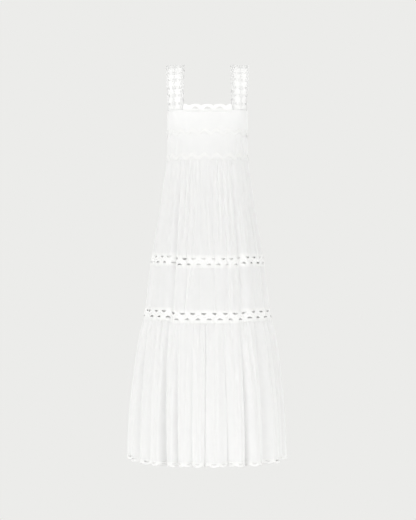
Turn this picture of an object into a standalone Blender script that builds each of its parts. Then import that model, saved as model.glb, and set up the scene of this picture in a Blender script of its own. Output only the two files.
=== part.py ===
"""A long tiered camisole dress in white cotton, filled out as if worn, with no wearer inside.

The square bodice hangs from two scalloped eyelet straps. Below it come a gathered tier, a wavy openwork
band, a flat tier, a second openwork band, and a full gathered tier that ends in a scalloped trim.

Units are metres and +Z is up. The wearer faces -Y. The origin lies midway between the two straps, at the
height of the straps' underside at the top of the shoulders, so every height below is a negative Z.
"""

import math
from collections import namedtuple

import bmesh
import bpy
import numpy as np
from mathutils import Vector
from mathutils.geometry import delaunay_2d_cdt

# Cloth
WALL = 0.0015
RIBBON_WALL = 0.0010
SEAM_GAP = 0.0003
RIBBON_LIFT = 0.0008

# Heights of the edges and seams
NECK_EDGE = -0.154
ARMHOLE_DIP = 0.008
BUST_SEAM = -0.236
WAIST_SEAM = -0.323
LACE_HEIGHT = 0.041
FIRST_LACE = -0.629
SECOND_LACE = -0.806
HEM = -1.311
HEM_TRIM_HEIGHT = 0.017

# Openwork
LACE_REPEATS_PER_HALF = 18
LACE_HOLE_SHARE = 0.47
LACE_HOLE_HEIGHT = 0.0066
LACE_HEADER = 0.0085
HEM_REPEATS_PER_HALF = 27
HEM_HOLE_SHARE = 0.46
TRIM_HEADER = 0.0045
TRIM_HOLE_HEIGHT = 0.0052
TRIM_VALLEY = 0.0115
NECK_TRIM_HEIGHT = 0.017
NECK_TRIM_LAP = 0.0085
NECK_TRIM_VALLEY = 0.0105
NECK_REPEATS = 4
NECK_HOLE_WIDTH = 0.0185
NECK_HOLE_BASE = 0.0005
NECK_HOLE_HEIGHT = 0.0055

# Straps
STRAP_HALF_WIDTH = 0.031
STRAP_SCALLOP = 0.0055
STRAP_REPEATS = 14
STRAP_FOOT = 0.007
STRAP_HOLE = 0.0062
STRAP_HOLE_ROW = 0.0195
STRAP_CREST_X = 0.1075
STRAP_CREST_Y = -0.004
SHOULDER_SLOPE = math.radians(2)
STRAP_ARCH_SQUARENESS = 2.3

# Where the straps meet the neck edge, measured along that edge from the centre
STRAP_INNER_EDGE = 0.0805

# Wavy ribbons sewn flat over the bust and waist seams
RIBBON_WIDTH = 0.0125
RIBBON_SWING = 0.0060
RIBBON_REPEATS_PER_HALF = 10
BUST_RIBBON = -0.2306
WAIST_RIBBON = -0.3110

SIDE = 90
WHOLE_TURN = 360
COTTON = (0.93, 0.93, 0.925, 1.0)
THREAD = (0.96, 0.96, 0.95, 1.0)

Section = namedtuple("Section", "height half_width front back squareness")
Fold = namedtuple("Fold", "top_angle low_angle depth")
Weight = namedtuple("Weight", "height amount")

# The outline of the filled garment: what its fullest ridges touch, from the neck edge to the hem
FORM = [
    Section(-0.113, 0.1330, 0.088, 0.080, 4.3),
    Section(-0.154, 0.1345, 0.097, 0.086, 4.2),
    Section(-0.193, 0.1350, 0.111, 0.091, 3.2),
    Section(-0.236, 0.1350, 0.121, 0.095, 2.6),
    Section(-0.293, 0.1350, 0.122, 0.096, 2.4),
    Section(-0.323, 0.1375, 0.122, 0.098, 2.35),
    Section(-0.373, 0.1460, 0.126, 0.104, 2.3),
    Section(-0.463, 0.1580, 0.136, 0.119, 2.3),
    Section(-0.553, 0.1735, 0.148, 0.134, 2.3),
    Section(-0.643, 0.1880, 0.161, 0.149, 2.3),
    Section(-0.733, 0.2000, 0.173, 0.161, 2.3),
    Section(-0.845, 0.2155, 0.187, 0.175, 2.3),
    Section(-0.880, 0.2260, 0.193, 0.182, 2.25),
    Section(-0.933, 0.2370, 0.203, 0.193, 2.2),
    Section(-1.013, 0.2480, 0.214, 0.204, 2.2),
    Section(-1.113, 0.2590, 0.225, 0.216, 2.2),
    Section(-1.213, 0.2655, 0.233, 0.224, 2.2),
    Section(-1.323, 0.2690, 0.238, 0.229, 2.2),
]

# Valleys between the soft folds of the upper skirt, in degrees from the centre front towards +X
UPPER_FOLDS = [
    Fold(-90, -90, 0.7),
    Fold(-73, -69, 1.1),
    Fold(-53, -51, 0.5),
    Fold(-37, -32, 1.3),
    Fold(-23, -20, 0.8),
    Fold(-9, -7, 0.5),
    Fold(6, 7, 0.7),
    Fold(20, 20, 1.0),
    Fold(33, 32, 1.3),
    Fold(49, 47, 0.6),
    Fold(69, 66, 1.4),
    Fold(90, 90, 0.7),
    Fold(109, 111, 1.1),
    Fold(126, 127, 0.6),
    Fold(142, 144, 1.2),
    Fold(157, 158, 0.7),
    Fold(170, 171, 0.8),
    Fold(184, 185, 0.6),
    Fold(199, 200, 1.1),
    Fold(214, 214, 0.6),
    Fold(231, 232, 1.2),
    Fold(250, 251, 0.8),
]
FRONT_UPPER_FOLDS = 11

# Valleys between the deep folds of the bottom tier
LOWER_FOLDS = [
    Fold(-90, -90, 0.8),
    Fold(-75, -77, 0.7),
    Fold(-60, -57, 1.2),
    Fold(-46, -44, 0.5),
    Fold(-35, -32, 1.3),
    Fold(-24, -21.5, 0.9),
    Fold(-12, -11, 0.8),
    Fold(-1, -2, 0.9),
    Fold(13, 15, 1.2),
    Fold(28, 29, 1.1),
    Fold(43, 44, 0.9),
    Fold(64, 66, 1.1),
    Fold(90, 90, 0.8),
    Fold(107, 106, 1.1),
    Fold(122, 123, 0.8),
    Fold(138, 139, 1.2),
    Fold(153, 152, 0.7),
    Fold(166, 165, 1.1),
    Fold(181, 182, 0.8),
    Fold(196, 197, 1.2),
    Fold(212, 211, 0.7),
    Fold(228, 229, 1.1),
    Fold(249, 248, 0.9),
]
FRONT_LOWER_FOLDS = 12

# How deep each kind of fold is at each height
UPPER_DEPTH = [
    Weight(-0.323, 0.0), Weight(-0.423, 0.006), Weight(-0.629, 0.014),
    Weight(-0.847, 0.009), Weight(-0.960, 0.0),
]
LOWER_DEPTH = [
    Weight(-0.847, 0.0), Weight(-0.930, 0.012), Weight(-1.093, 0.025), Weight(-1.311, 0.034),
]
FIRST_GATHER_DEPTH = [
    Weight(-0.323, 0.0), Weight(-0.335, 0.0045), Weight(-0.403, 0.0042), Weight(-0.553, 0.0),
]
SECOND_GATHER_DEPTH = [
    Weight(-0.847, 0.0), Weight(-0.862, 0.0060), Weight(-0.960, 0.0055), Weight(-1.093, 0.0),
]
EASE_DEPTH = [Weight(-0.245, 0.0), Weight(-0.263, 0.0026), Weight(-0.285, 0.0026), Weight(-0.299, 0.0)]
GATHERS_PER_FOLD = 2
RIDGE_ROUNDNESS = 0.8

# Columns of mesh to each fold: where it is gathered, and where it hangs smooth
GATHERED_COLUMNS = 8
SMOOTH_COLUMNS = 4

# The eased stretch of the lower bodice beside the bust, in degrees from the centre front or back
EASE_START = 38
EASE_END = 83
EASE_PERIOD = 9


def amount_at(weights, height):
    """The depth that a list of weights gives at each height, held level past its ends."""
    rising = np.array(sorted(weights))
    return np.interp(height, rising[:, 0], rising[:, 1])


FORM_ROWS = np.array(FORM[::-1])
FORM_SLOPES = np.gradient(FORM_ROWS[:, 1:], FORM_ROWS[:, 0], axis=0)


def form_at(height):
    """Half width, front depth, back depth and squareness of the outline, on a smooth curve down FORM."""
    heights = FORM_ROWS[:, 0]
    low = np.clip(np.searchsorted(heights, height) - 1, 0, len(heights) - 2)
    step = (heights[low + 1] - heights[low])[:, None]
    t = (height - heights[low])[:, None] / step
    return (
        FORM_ROWS[low, 1:] * (1 - t) ** 2 * (1 + 2 * t)
        + FORM_ROWS[low + 1, 1:] * t ** 2 * (3 - 2 * t)
        + FORM_SLOPES[low] * step * t * (1 - t) ** 2
        - FORM_SLOPES[low + 1] * step * t ** 2 * (1 - t)
    ).T


def outline_at(angle, height):
    """Points of the outline. Angles run from the centre front towards +X, in degrees."""
    half_width, front, back, squareness = form_at(height)
    across = np.sin(np.radians(angle))
    ahead = np.cos(np.radians(angle))
    reach = (np.abs(across) ** squareness + np.abs(ahead) ** squareness) ** (-1 / squareness)
    depth = np.where(ahead > 0, front, back)
    return np.stack([half_width * reach * across, -depth * reach * ahead, height], axis=1)


def level_normals(curve, angle, height, step=0.4):
    """The outward directions of a horizontal curve, kept level so that walls have flat rims."""
    along = curve(angle + step, height) - curve(angle - step, height)
    normals = np.stack([along[:, 1], -along[:, 0], 0 * height], axis=1)
    return normals / np.linalg.norm(normals, axis=1)[:, None]


def valleys_at(folds, share):
    """The angle of each valley at each share of the way down, and the first one again a turn later."""
    top = np.array([fold.top_angle for fold in folds] + [folds[0].top_angle + WHOLE_TURN])
    low = np.array([fold.low_angle for fold in folds] + [folds[0].low_angle + WHOLE_TURN])
    return top[None, :] + (low - top)[None, :] * share[:, None]


def way_down(height, top, low):
    """How far each height lies from a top height to a low one, from 0 to 1."""
    return np.clip((top - height) / (top - low), 0, 1)


def fold_phase(folds, angle, height, top, low):
    """Which fold each angle lies in, and how far across it, as one number."""
    valleys = valleys_at(folds, way_down(height, top, low))
    turned = (angle + SIDE) % WHOLE_TURN - SIDE
    before = np.clip((valleys <= turned[:, None]).sum(axis=1) - 1, 0, len(folds) - 1)
    rows = np.arange(len(turned))
    left, right = valleys[rows, before], valleys[rows, before + 1]
    return before + (turned - left) / (right - left)


def folds_dip(folds, weights, top, low):
    """How far rounded folds with narrow valleys sink below the outline, by angle and height."""
    depths = [fold.depth for fold in folds] + [folds[0].depth]

    def dip(angle, height):
        phase = fold_phase(folds, angle, height, top, low)
        ridge = np.abs(np.sin(math.pi * phase)) ** RIDGE_ROUNDNESS
        valley = np.interp(phase, range(len(depths)), depths)
        return amount_at(weights, height) * valley * (1 - ridge)

    return dip


def gathers_dip(folds, weights, top, low):
    """The fine gathers under a seam, a whole number of them to each fold."""

    def dip(angle, height):
        phase = fold_phase(folds, angle, height, top, low)
        ripple = 0.5 + 0.5 * np.cos(2 * math.pi * GATHERS_PER_FOLD * phase)
        return amount_at(weights, height) * ripple

    return dip


def ease_dip(angle, height):
    """Small vertical creases that ease the lower bodice in beside the bust."""
    from_centre = np.abs((angle + SIDE) % (2 * SIDE) - SIDE)
    ripple = 0.5 - 0.5 * np.cos(2 * math.pi * (from_centre - EASE_START) / EASE_PERIOD)
    is_eased = (from_centre > EASE_START) & (from_centre < EASE_END)
    return np.where(is_eased, amount_at(EASE_DEPTH, height) * ripple, 0)


def cloth(*dips):
    """A surface function: it takes angles, heights and distances outwards, and gives points."""

    def folded(angle, height):
        sunk = sum((dip(angle, height) for dip in dips), 0 * height)
        return outline_at(angle, height) - level_normals(outline_at, angle, height) * sunk[:, None]

    def place(angle, height, outwards=0.0):
        normals = level_normals(folded, angle, height)
        return folded(angle, height) + normals * (outwards + 0 * height)[:, None]

    return place


upper_dip = folds_dip(UPPER_FOLDS, UPPER_DEPTH, WAIST_SEAM, SECOND_LACE)
lower_dip = folds_dip(LOWER_FOLDS, LOWER_DEPTH, SECOND_LACE - LACE_HEIGHT, HEM)
first_gathers = gathers_dip(UPPER_FOLDS, FIRST_GATHER_DEPTH, WAIST_SEAM, SECOND_LACE)
second_gathers = gathers_dip(LOWER_FOLDS, SECOND_GATHER_DEPTH, SECOND_LACE - LACE_HEIGHT, HEM)

smooth_bodice = cloth()
eased_bodice = cloth(ease_dip)
first_tier = cloth(upper_dip, first_gathers)
lace_cloth = cloth(upper_dip)
bottom_tier = cloth(upper_dip, lower_dip, second_gathers)
hem_cloth = cloth(lower_dip)


def neck_height(angle):
    """The top edge of the bodice: level at front and back, with a slight dip under each arm."""
    from_side = np.abs(angle % (2 * SIDE) - SIDE)
    dip_reach = 24
    share = np.clip(1 - from_side / dip_reach, 0, 1)
    return NECK_EDGE - ARMHOLE_DIP * share * share * (3 - 2 * share)


def cotton(name, colour, roughness):
    """A plain woven cloth finish of its own for one piece."""
    material = bpy.data.materials.new(name + "_cloth")
    material.use_nodes = True
    shader = material.node_tree.nodes["Principled BSDF"]
    shader.inputs["Base Color"].default_value = colour
    shader.inputs["Roughness"].default_value = roughness
    shader.inputs["Metallic"].default_value = 0.0
    shader.inputs["Sheen Weight"].default_value = 0.2
    return material


def add_piece(name, flat, place, colour=COTTON, roughness=0.85):
    """Moves a flat closed solid onto the garment and makes it an object: x, y and z go to place."""
    x, y, z = np.array([vert.co for vert in flat.verts]).T
    for vert, point in zip(flat.verts, place(x, y, z)):
        vert.co = point
    bmesh.ops.recalc_face_normals(flat, faces=flat.faces[:])
    if flat.calc_volume(signed=True) < 0:
        bmesh.ops.reverse_faces(flat, faces=flat.faces[:])
    mesh = bpy.data.meshes.new(name)
    flat.to_mesh(mesh)
    flat.free()
    mesh.shade_smooth()
    piece = bpy.data.objects.new(name, mesh)
    mesh.materials.append(cotton(name, colour, roughness))
    bpy.data.collections["camisole_dress"].objects.link(piece)
    return piece


def thickened(flat, wall, outwards):
    """Gives a flat sheet its wall, from a level up."""
    flat.normal_update()
    bmesh.ops.solidify(flat, geom=flat.faces[:], thickness=wall)
    lowest = min(vert.co.z for vert in flat.verts)
    for vert in flat.verts:
        is_outer = vert.co.z > lowest + wall / 2
        vert.co.z = outwards + (wall if is_outer else 0)
    return flat


def cut_flat(outline, holes, wall, outwards):
    """A flat piece cut to an outline, with holes, as a closed solid.

    Every border runs anticlockwise, and the first is the outline, so a triangle that lies within that
    one alone is outside every hole.
    """
    points, borders = [], []
    for loop in (outline, *holes):
        borders.append(list(range(len(points), len(points) + len(loop))))
        points += [Vector(point) for point in loop]
    triangles_inside = 1
    spots, _, faces, _, _, within = delaunay_2d_cdt(points, [], borders, triangles_inside, 1e-7)
    flat = bmesh.new()
    verts = [flat.verts.new((*spot, 0)) for spot in spots]
    for face, borders_round_it in zip(faces, within):
        if list(borders_round_it) == [0]:
            flat.faces.new([verts[i] for i in face])
    return thickened(flat, wall, outwards)


def half_turn(is_front):
    """The angles of the side seams that a front or back piece runs between, and its side of them."""
    return (-SIDE, SIDE, -1) if is_front else (SIDE, 3 * SIDE, 1)


def seam_shift(share, is_front):
    """Draws the ends of a front or back piece back from the side seams by half the seam gap."""
    at_end = (share < 1e-6) | (share > 1 - 1e-6)
    shift = np.where(at_end, half_turn(is_front)[2] * SEAM_GAP / 2, 0)
    return np.stack([0 * shift, shift, 0 * shift], axis=1)


def panel(name, is_front, surface, angles, top, bottom, rows, coarse_rows=0):
    """A front or back panel of cloth, between two edges.

    angles gives a column's angle from its share of the way across and its height. top and bottom give
    an edge's height from its angle. In the lowest coarse_rows every second column is merged away.
    """
    columns = angles.columns
    sheet = bmesh.new()
    bmesh.ops.create_grid(sheet, x_segments=columns, y_segments=rows, size=0.5)
    if coarse_rows:
        at = {(round((v.co.x + 0.5) * columns), round((v.co.y + 0.5) * rows)): v for v in sheet.verts}
        merged = {
            at[column, row]: at[column - 1, row]
            for column in range(1, columns, 2)
            for row in range(coarse_rows)
        }
        bmesh.ops.weld_verts(sheet, targetmap=merged)
    thickened(sheet, WALL, -WALL)

    def place(x, y, outwards):
        share, up = x + 0.5, y + 0.5
        middle = (top(0 * x) + bottom(0 * x)) / 2
        angle = angles(share, middle)
        height = bottom(angle) + up * (top(angle) - bottom(angle))
        angle = angles(share, height)
        return surface(angle, height, outwards) + seam_shift(share, is_front)

    return add_piece(name, sheet, place)


class FoldColumns:
    """Columns that follow the valleys and ridges of a list of folds down the cloth."""

    def __init__(self, folds, is_front, front_count, per_fold, top, low):
        self.folds, self.top, self.low = folds, top, low
        self.first = 0 if is_front else front_count
        self.count = front_count if is_front else len(folds) - front_count
        self.columns = self.count * per_fold

    def __call__(self, share, height):
        valleys = valleys_at(self.folds, way_down(height, self.top, self.low))
        at = self.first + share * self.count
        before = np.clip(np.floor(at).astype(int), 0, len(self.folds) - 1)
        rows = np.arange(len(share))
        left, right = valleys[rows, before], valleys[rows, before + 1]
        return left + (right - left) * (at - before)


class EvenColumns:
    """Columns at equal angles, closer together where a stretch is eased."""

    def __init__(self, is_front, marks):
        start, end, _ = half_turn(is_front)
        middle = (start + end) / 2
        self.marks = [middle + mark for mark in marks]
        self.columns = len(marks) - 1

    def __call__(self, share, height):
        return np.interp(share * self.columns, range(self.columns + 1), self.marks)


def running_lengths(points):
    """The length along a line of points, from its first point to each."""
    steps = np.linalg.norm(np.diff(points, axis=0), axis=1)
    return np.concatenate([[0], np.cumsum(steps)])


def cloth_lengths(surface, height, is_front, steps=1440):
    """Angles along a front or back half, and the length of cloth from its first side seam to each."""
    start, end, _ = half_turn(is_front)
    angles = np.linspace(start, end, steps + 1)
    return angles, running_lengths(surface(angles, height + 0 * angles))


def arch(centre, base, width, height, points):
    """Anticlockwise points of a flat-based arch, or of a hanging one where the height is negative."""
    turns = [math.pi * i / (points - 1) for i in range(points)]
    reach = math.copysign(width / 2, height)
    return [(centre + reach * math.cos(a), base + height * abs(math.sin(a)) ** 0.8) for a in turns]


def band(name, is_front, surface, top, strip, columns, wall=WALL, outwards=-WALL):
    """A trim laid round a front or back half, at its true width along the cloth.

    strip takes the length of cloth and the marks where the next panel has its columns. It gives the
    flat outline and its holes, with y = 0 at the top.
    """
    middle = top - strip.height / 2
    angles, lengths = cloth_lengths(surface, middle, is_front)
    shares = np.linspace(0, 1, columns.columns + 1)
    marks = np.interp(columns(shares, middle + 0 * shares), angles, lengths)
    outline, holes = strip(lengths[-1], marks)
    flat = cut_flat(outline, holes, wall, outwards)

    def place(x, y, outwards):
        angle = np.interp(x, lengths, angles)
        return surface(angle, top + y, outwards) + seam_shift(x / lengths[-1], is_front)

    return add_piece(name, flat, place, THREAD, roughness=0.8)


class LaceStrip:
    """The openwork band: a wavy ribbon between two straight headers, with a gap at each bend."""

    height = LACE_HEIGHT - SEAM_GAP

    def __call__(self, length, marks):
        repeat = length / LACE_REPEATS_PER_HALF
        outline = [(x, -self.height) for x in marks] + [(x, 0) for x in marks[::-1]]
        hole_width = repeat * LACE_HOLE_SHARE
        low_base = LACE_HEADER - self.height
        holes = []
        for i in range(LACE_REPEATS_PER_HALF):
            holes.append(arch((i + 0.25) * repeat, low_base, hole_width, LACE_HOLE_HEIGHT, 5))
            holes.append(arch((i + 0.75) * repeat, -LACE_HEADER, hole_width, -LACE_HOLE_HEIGHT, 5))
        return outline, holes


def scallops(start, repeat, count, valley, crest, points):
    """The free edge of a trim: a row of rounded scallops, from one valley to the next."""
    edge = []
    for i in range(count):
        for j in range(points):
            share = j / points
            rise = math.sin(math.pi * share) ** 0.7
            edge.append((start + (i + share) * repeat, valley + (crest - valley) * rise))
    return edge + [(start + count * repeat, valley)]


class HemStrip:
    """The hem trim: a straight header, a gap behind each scallop, and the scalloped edge."""

    height = HEM_TRIM_HEIGHT

    def __call__(self, length, marks):
        repeat = length / HEM_REPEATS_PER_HALF
        outline = scallops(0, repeat, HEM_REPEATS_PER_HALF, -TRIM_VALLEY, -self.height, 3)
        outline += [(x, 0) for x in marks[::-1]]
        hole_width = repeat * HEM_HOLE_SHARE
        holes = [
            arch((i + 0.5) * repeat, -TRIM_HEADER, hole_width, -TRIM_HOLE_HEIGHT, 4)
            for i in range(HEM_REPEATS_PER_HALF)
        ]
        return outline, holes


class RibbonStrip:
    """A wavy ribbon whose two edges swing together."""

    height = RIBBON_WIDTH + 2 * RIBBON_SWING

    def __call__(self, length, marks):
        points = 3 * RIBBON_REPEATS_PER_HALF
        wave = []
        for i in range(points + 1):
            turn = 2 * math.pi * RIBBON_REPEATS_PER_HALF * i / points
            wave.append((length * i / points, RIBBON_SWING * (math.cos(turn) - 1)))
        under = [(x, y - RIBBON_WIDTH) for x, y in wave]
        return under + wave[::-1], []


def neck_curve(is_front):
    """Angles from the centre towards +X along the neck edge, and the length of edge to each."""
    centre = 0 if is_front else 2 * SIDE
    turn = 1 if is_front else -1
    angles = centre + turn * np.linspace(0, SIDE, 361)
    return angles, running_lengths(smooth_bodice(angles, NECK_EDGE + 0 * angles))


NECK_CURVES = {is_front: neck_curve(is_front) for is_front in (True, False)}


def on_neck_edge(along, is_front, outwards, above=0.0):
    """Points on or above the neck edge, at lengths from its centre, negative towards -X."""
    angles, lengths = NECK_CURVES[is_front]
    angle = np.interp(np.abs(along), lengths, angles)
    points = smooth_bodice(angle, NECK_EDGE + above + 0 * angle, outwards)
    points[:, 0] = np.copysign(points[:, 0], along)
    return points


def neck_trim(name, is_front):
    """The scalloped edging between the straps, with an arched gap under each scallop.

    Its foot laps over the outside of the upper bodice, and its scallops stand above the edge.
    """
    half = STRAP_INNER_EDGE - SEAM_GAP
    repeat = 2 * half / NECK_REPEATS
    top = scallops(-half - repeat / 2, repeat, NECK_REPEATS + 1, NECK_TRIM_VALLEY, NECK_TRIM_HEIGHT, 4)
    top = [point for point in top if abs(point[0]) <= half + 1e-6]
    base = [(x, -NECK_TRIM_LAP) for x in np.linspace(-half, half, 2 * NECK_REPEATS + 1)]
    gaps = range(1 - NECK_REPEATS // 2, NECK_REPEATS // 2)
    holes = [arch(i * repeat, NECK_HOLE_BASE, NECK_HOLE_WIDTH, NECK_HOLE_HEIGHT, 5) for i in gaps]
    flat = cut_flat(base + top[::-1], holes, WALL, RIBBON_LIFT)
    return add_piece(name, flat, lambda x, y, outwards: on_neck_edge(x, is_front, outwards, y), THREAD, 0.8)


def strap(name, side):
    """One shoulder strap, from the front neck edge over the shoulder to the back neck edge."""
    middle = STRAP_INNER_EDGE + STRAP_HALF_WIDTH
    at_middle = np.array([middle])
    front_end, back_end = (on_neck_edge(at_middle, front, -WALL)[0] for front in (True, False))
    crest = np.array([STRAP_CREST_X, STRAP_CREST_Y])
    base = NECK_EDGE + SEAM_GAP

    def under(share, across):
        turn = math.pi * share
        ahead, up = np.cos(turn), np.sin(turn)
        arm = (np.abs(ahead) ** STRAP_ARCH_SQUARENESS + up ** STRAP_ARCH_SQUARENESS)
        arm = arm ** (-1 / STRAP_ARCH_SQUARENESS)
        is_front = (share < 0.5)[:, None]
        end = np.where(is_front, front_end, back_end)
        reach = np.abs(ahead) * arm
        x = crest[0] + (end[:, 0] - crest[0]) * reach ** 2
        y = crest[1] + (end[:, 1] - crest[1]) * reach
        line = np.stack([x, y, base * (1 - up * arm)], axis=1)
        flatness = (up * up * (3 - 2 * up))[:, None]
        ends = [on_neck_edge(middle + across, front, -WALL) for front in (True, False)]
        curved = np.where(is_front, ends[0] - front_end, ends[1] - back_end)
        curved[:, 2] = 0
        slope = np.array([math.cos(SHOULDER_SLOPE), 0, -math.sin(SHOULDER_SLOPE)])
        return line + curved * (1 - flatness) + slope * across[:, None] * flatness

    shares = np.linspace(0, 1, 401)
    lengths = running_lengths(under(shares, 0 * shares))
    repeat = (lengths[-1] - 2 * STRAP_FOOT) / STRAP_REPEATS
    narrow = STRAP_HALF_WIDTH - STRAP_SCALLOP
    outer = scallops(STRAP_FOOT, repeat, STRAP_REPEATS, narrow, STRAP_HALF_WIDTH, 3)
    outer = [(0, STRAP_HALF_WIDTH), *outer, (lengths[-1], STRAP_HALF_WIDTH)]
    outline = [(x, -y) for x, y in outer] + outer[::-1]
    corners = [(1, 0), (0, 1), (-1, 0), (0, -1)]
    reach = STRAP_HOLE / 2
    holes = [
        [(STRAP_FOOT + (i + 0.5) * repeat + a * reach, row + b * reach) for a, b in corners]
        for i in range(STRAP_REPEATS)
        for row in (STRAP_HOLE_ROW, -STRAP_HOLE_ROW)
    ]
    flat = cut_flat(outline, holes, WALL, 0.0)

    def place(x, y, outwards):
        share = np.interp(x, lengths, shares)
        step = 0.002
        along = under(np.minimum(share + step, 1), y) - under(np.maximum(share - step, 0), y)
        across = under(share, y + step / 2) - under(share, y - step / 2)
        normal = np.cross(across, along)
        at_end = (share < 1e-6) | (share > 1 - 1e-6)
        normal[:, 2] = np.where(at_end, 0, normal[:, 2])
        normal /= np.linalg.norm(normal, axis=1)[:, None]
        return (under(share, y) + normal * outwards[:, None]) * np.array([side, 1, 1])

    return add_piece(name, flat, place, THREAD, roughness=0.8)


def level(height):
    """An edge at one height all the way across."""
    return lambda angle: height + 0 * angle


def build_bodice():
    """Two smooth upper panels, and two lower ones eased in at the bust, under the wavy ribbons."""
    smooth_marks = np.linspace(-SIDE, SIDE, 19)
    eased = np.arange(EASE_START, EASE_END + 0.1, EASE_PERIOD / 3)
    eased_marks = [-SIDE, *-eased[::-1], -26, -13, 0, 13, 26, *eased, SIDE]
    for side, is_front in (("front", True), ("back", False)):
        columns = EvenColumns(is_front, smooth_marks)
        panel("bodice_upper_" + side, is_front, smooth_bodice, columns, neck_height,
              level(BUST_SEAM + SEAM_GAP), rows=2)
        columns = EvenColumns(is_front, eased_marks)
        panel("bodice_lower_" + side, is_front, eased_bodice, columns, level(BUST_SEAM),
              level(WAIST_SEAM + SEAM_GAP), rows=3)
        for name, middle in (("bust_ribbon_", BUST_RIBBON), ("waist_ribbon_", WAIST_RIBBON)):
            top = middle + RibbonStrip.height / 2
            band(name + side, is_front, smooth_bodice, top, RibbonStrip(), columns, RIBBON_WALL, RIBBON_LIFT)


def build_skirt():
    """The gathered tier, the two openwork bands with the flat tier between them, and the bottom tier."""
    first_lace_foot = FIRST_LACE - LACE_HEIGHT
    second_lace_foot = SECOND_LACE - LACE_HEIGHT
    for side, is_front in (("front", True), ("back", False)):
        upper = (UPPER_FOLDS, is_front, FRONT_UPPER_FOLDS)
        gathered = FoldColumns(*upper, GATHERED_COLUMNS, WAIST_SEAM, SECOND_LACE)
        panel("skirt_tier_1_" + side, is_front, first_tier, gathered, level(WAIST_SEAM),
              level(FIRST_LACE + SEAM_GAP), rows=4, coarse_rows=2)
        flat_tier = FoldColumns(*upper, SMOOTH_COLUMNS, WAIST_SEAM, SECOND_LACE)
        band("lace_1_" + side, is_front, lace_cloth, FIRST_LACE, LaceStrip(), flat_tier)
        panel("skirt_tier_2_" + side, is_front, lace_cloth, flat_tier, level(first_lace_foot),
              level(SECOND_LACE + SEAM_GAP), rows=1)
        band("lace_2_" + side, is_front, lace_cloth, SECOND_LACE, LaceStrip(), flat_tier)
        lower = (LOWER_FOLDS, is_front, FRONT_LOWER_FOLDS)
        full = FoldColumns(*lower, GATHERED_COLUMNS, second_lace_foot, HEM)
        trim_top = HEM + HEM_TRIM_HEIGHT
        panel("skirt_tier_3_" + side, is_front, bottom_tier, full, level(second_lace_foot),
              level(trim_top + SEAM_GAP), rows=4, coarse_rows=3)
        hem_columns = FoldColumns(*lower, SMOOTH_COLUMNS, second_lace_foot, HEM)
        band("hem_trim_" + side, is_front, hem_cloth, trim_top, HemStrip(), hem_columns)


def main():
    for old in list(bpy.data.objects):
        bpy.data.objects.remove(old)
    pieces = bpy.data.collections.new("camisole_dress")
    bpy.context.scene.collection.children.link(pieces)
    build_bodice()
    neck_trim("neck_trim_front", is_front=True)
    neck_trim("neck_trim_back", is_front=False)
    strap("strap_left", side=1)
    strap("strap_right", side=-1)
    build_skirt()


main()
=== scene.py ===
"""A long tiered camisole dress in white cotton with eyelet lace, filled out as if worn, in soft light.

The pieces come in the order in which a maker would build the dress: the bodice and its ribbons, the neck
trims and straps, then the skirt from the waist down to the scalloped hem. Units are metres.
"""

import math
from collections import namedtuple

import bmesh
import bpy
import numpy as np
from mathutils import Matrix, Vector
from mathutils.geometry import delaunay_2d_cdt


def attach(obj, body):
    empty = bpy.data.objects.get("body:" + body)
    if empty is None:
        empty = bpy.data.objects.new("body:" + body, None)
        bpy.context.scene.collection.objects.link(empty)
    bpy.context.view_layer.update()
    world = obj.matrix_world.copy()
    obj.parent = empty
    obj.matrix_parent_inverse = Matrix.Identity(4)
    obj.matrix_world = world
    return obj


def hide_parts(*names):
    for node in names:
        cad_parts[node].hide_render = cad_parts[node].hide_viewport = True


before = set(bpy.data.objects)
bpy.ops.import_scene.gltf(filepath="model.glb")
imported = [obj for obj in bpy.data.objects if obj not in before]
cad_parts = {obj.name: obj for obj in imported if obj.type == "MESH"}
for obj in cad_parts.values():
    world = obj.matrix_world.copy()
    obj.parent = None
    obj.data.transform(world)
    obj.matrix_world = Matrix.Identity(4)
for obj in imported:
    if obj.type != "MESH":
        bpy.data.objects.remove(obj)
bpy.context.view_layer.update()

# The camera and the studio
# The dress was photographed level and from well in front, in soft light from all round, with an even
# pale background that shows no horizon.
IMAGE_WIDTH = 1.394
CAMERA_DISTANCE = 4.5
CAMERA_HEIGHT = -0.650
CAMERA_ASIDE = 0.0017
SENSOR_WIDTH = 36.0
BACKGROUND = (0.8388, 0.8388, 0.8228)
AMBIENT = 0.955
FLOOR_HEIGHT = -1.353
FLOOR_RADIUS = 12
LIT_SPOT = (0, 0, -0.7)


def add_camera():
    data = bpy.data.cameras.new("camera")
    data.sensor_fit = "HORIZONTAL"
    data.sensor_width = SENSOR_WIDTH
    data.lens = SENSOR_WIDTH * CAMERA_DISTANCE / IMAGE_WIDTH
    camera = bpy.data.objects.new("camera", data)
    camera.location = (CAMERA_ASIDE, -CAMERA_DISTANCE, CAMERA_HEIGHT)
    camera.rotation_euler = (math.pi / 2, 0, 0)
    bpy.context.scene.collection.objects.link(camera)
    bpy.context.scene.camera = camera


def add_world():
    """Soft light from all sides, a little stronger where the camera sees it as the background."""
    world = bpy.data.worlds.new("studio")
    world.use_nodes = True
    nodes, links = world.node_tree.nodes, world.node_tree.links
    seen = nodes.new("ShaderNodeLightPath").outputs["Is Camera Ray"]
    strength = nodes.new("ShaderNodeMapRange")
    strength.inputs["To Min"].default_value = AMBIENT
    strength.inputs["To Max"].default_value = 1.0
    links.new(seen, strength.inputs["Value"])
    background = nodes["Background"]
    background.inputs["Color"].default_value = (*BACKGROUND, 1)
    links.new(strength.outputs["Result"], background.inputs["Strength"])
    bpy.context.scene.world = world
    bpy.context.scene.view_settings.view_transform = "Standard"


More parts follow.
